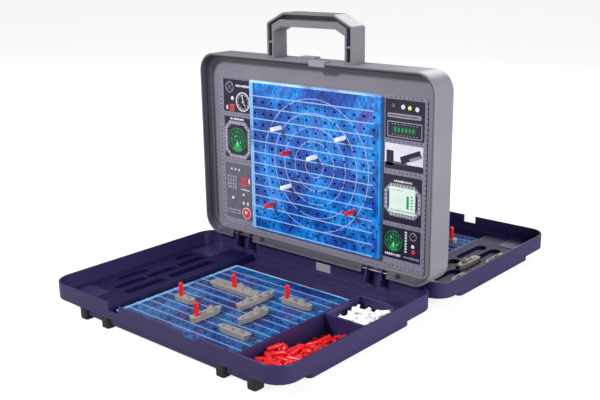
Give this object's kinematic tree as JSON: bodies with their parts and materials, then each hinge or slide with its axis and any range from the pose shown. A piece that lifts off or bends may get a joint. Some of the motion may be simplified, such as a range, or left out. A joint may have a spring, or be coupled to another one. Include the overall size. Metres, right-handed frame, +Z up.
{
  "type": "fleet guessing case",
  "caption": "Two-player fleet guessing case: an upright peg-grid frame with a carrying handle, a hinged tray on each side, ocean boards, ships and pegs.",
  "frame": {"origin": "on the table, under the middle of the upright frame", "axes": "+Z up, +Y through the thickness of the frame towards the rear tray, +X along the frame's width"},
  "size_m": [0.333, 0.486, 0.3019],
  "materials": {
    "frame_plastic": "moulded satin grey",
    "handle_plastic": "moulded satin grey",
    "catch_plastic": "moulded light grey",
    "tray_plastic": "moulded dark navy, semi-gloss",
    "rack_plastic": "vacuum formed dark navy",
    "board_plastic": "printed translucent blue",
    "grid_plastic": "printed translucent blue, bright",
    "card_print": "printed card, satin",
    "pin_steel": "bright steel",
    "ship_plastic": "moulded warm light grey",
    "red_peg_plastic": "moulded red",
    "white_peg_plastic": "moulded white"
  },
  "bodies": {
    "case_frame": {"frame_front_half": "frame_plastic", "frame_rear_half": "frame_plastic", "handle": "handle_plastic", "front_catch": "catch_plastic", "rear_catch": "catch_plastic", "front_target_grid": "grid_plastic", "rear_target_grid": "grid_plastic", "front_instrument_card": "card_print", "rear_instrument_card": "card_print", "hinge_pins": "pin_steel", "frame_screws": "pin_steel"},
    "front_tray": {"front_tray_shell": "tray_plastic", "front_ocean_board": "board_plastic", "front_ship_rack": "rack_plastic", "front_tray_feet": "tray_plastic", "front_base_pad": "catch_plastic", "front_red_peg_heap": "red_peg_plastic", "front_white_peg_heap": "white_peg_plastic"},
    "front_white_pegs": {"front_white_target_pegs": "white_peg_plastic"},
    "front_red_pegs": {"front_red_target_pegs": "red_peg_plastic"},
    "front_carrier": {"front_carrier": "ship_plastic", "front_carrier_peg": "red_peg_plastic"},
    "front_battleship": {"front_battleship": "ship_plastic"},
    "front_cruiser": {"front_cruiser": "ship_plastic", "front_cruiser_peg": "red_peg_plastic"},
    "front_patrol_boat": {"front_patrol_boat": "ship_plastic", "front_patrol_boat_peg": "red_peg_plastic"},
    "front_frigate": {"front_frigate": "ship_plastic", "front_frigate_peg": "red_peg_plastic"},
    "front_destroyer": {"front_destroyer": "ship_plastic"},
    "front_gunboat": {"front_gunboat": "ship_plastic"},
    "rear_tray": {"rear_tray_shell": "tray_plastic", "rear_ocean_board": "board_plastic", "rear_ship_rack": "rack_plastic", "rear_tray_feet": "tray_plastic", "rear_base_pad": "catch_plastic", "rear_red_peg_heap": "red_peg_plastic", "rear_white_peg_heap": "white_peg_plastic"},
    "rear_white_pegs": {"rear_white_target_pegs": "white_peg_plastic"},
    "rear_red_pegs": {"rear_red_target_pegs": "red_peg_plastic"},
    "rear_carrier": {"rear_carrier": "ship_plastic"},
    "rear_battleship": {"rear_battleship": "ship_plastic"},
    "rear_cruiser": {"rear_cruiser": "ship_plastic", "rear_cruiser_peg": "red_peg_plastic"},
    "rear_patrol_boat": {"rear_patrol_boat": "ship_plastic"},
    "rear_frigate": {"rear_frigate": "ship_plastic"},
    "rear_destroyer": {"rear_destroyer": "ship_plastic"},
    "rear_gunboat": {"rear_gunboat": "ship_plastic"}
  },
  "joints": [
    {"name": "front_tray_hinge", "type": "hinge", "parent": "case_frame", "child": "front_tray", "pos_m": [0, -0.01245, 0.03545], "axis": [-1, 0, 0], "range_deg": [0, 90]},
    {"name": "front_white_peg_pull", "type": "slide", "parent": "case_frame", "child": "front_white_pegs", "axis": [0, -1, 0], "range_m": [0, 0.0045]},
    {"name": "front_red_peg_pull", "type": "slide", "parent": "case_frame", "child": "front_red_pegs", "axis": [0, -1, 0], "range_m": [0, 0.0045]},
    {"name": "front_carrier_lift", "type": "slide", "parent": "front_tray", "child": "front_carrier", "axis": [0, 0, 1], "range_m": [0, 0.0045]},
    {"name": "front_battleship_lift", "type": "slide", "parent": "front_tray", "child": "front_battleship", "axis": [0, 0, 1], "range_m": [0, 0.0045]},
    {"name": "front_cruiser_lift", "type": "slide", "parent": "front_tray", "child": "front_cruiser", "axis": [0, 0, 1], "range_m": [0, 0.0045]},
    {"name": "front_patrol_boat_lift", "type": "slide", "parent": "front_tray", "child": "front_patrol_boat", "axis": [0, 0, 1], "range_m": [0, 0.0045]},
    {"name": "front_frigate_lift", "type": "slide", "parent": "front_tray", "child": "front_frigate", "axis": [0, 0, 1], "range_m": [0, 0.0045]},
    {"name": "front_destroyer_lift", "type": "slide", "parent": "front_tray", "child": "front_destroyer", "axis": [0, 0, 1], "range_m": [0, 0.0045]},
    {"name": "front_gunboat_lift", "type": "slide", "parent": "front_tray", "child": "front_gunboat", "axis": [0, 0, 1], "range_m": [0, 0.0045]},
    {"name": "rear_tray_hinge", "type": "hinge", "parent": "case_frame", "child": "rear_tray", "pos_m": [0, 0.01245, 0.03545], "axis": [1, 0, 0], "range_deg": [0, 90]},
    {"name": "rear_white_peg_pull", "type": "slide", "parent": "case_frame", "child": "rear_white_pegs", "axis": [0, 1, 0], "range_m": [0, 0.0045]},
    {"name": "rear_red_peg_pull", "type": "slide", "parent": "case_frame", "child": "rear_red_pegs", "axis": [0, 1, 0], "range_m": [0, 0.0045]},
    {"name": "rear_carrier_lift", "type": "slide", "parent": "rear_tray", "child": "rear_carrier", "axis": [0, 0, 1], "range_m": [0, 0.0045]},
    {"name": "rear_battleship_lift", "type": "slide", "parent": "rear_tray", "child": "rear_battleship", "axis": [0, 0, 1], "range_m": [0, 0.0045]},
    {"name": "rear_cruiser_lift", "type": "slide", "parent": "rear_tray", "child": "rear_cruiser", "axis": [0, 0, 1], "range_m": [0, 0.0045]},
    {"name": "rear_patrol_boat_lift", "type": "slide", "parent": "rear_tray", "child": "rear_patrol_boat", "axis": [0, 0, 1], "range_m": [0, 0.0045]},
    {"name": "rear_frigate_lift", "type": "slide", "parent": "rear_tray", "child": "rear_frigate", "axis": [0, 0, 1], "range_m": [0, 0.0045]},
    {"name": "rear_destroyer_lift", "type": "slide", "parent": "rear_tray", "child": "rear_destroyer", "axis": [0, 0, 1], "range_m": [0, 0.0045]},
    {"name": "rear_gunboat_lift", "type": "slide", "parent": "rear_tray", "child": "rear_gunboat", "axis": [0, 0, 1], "range_m": [0, 0.0045]}
  ]
}
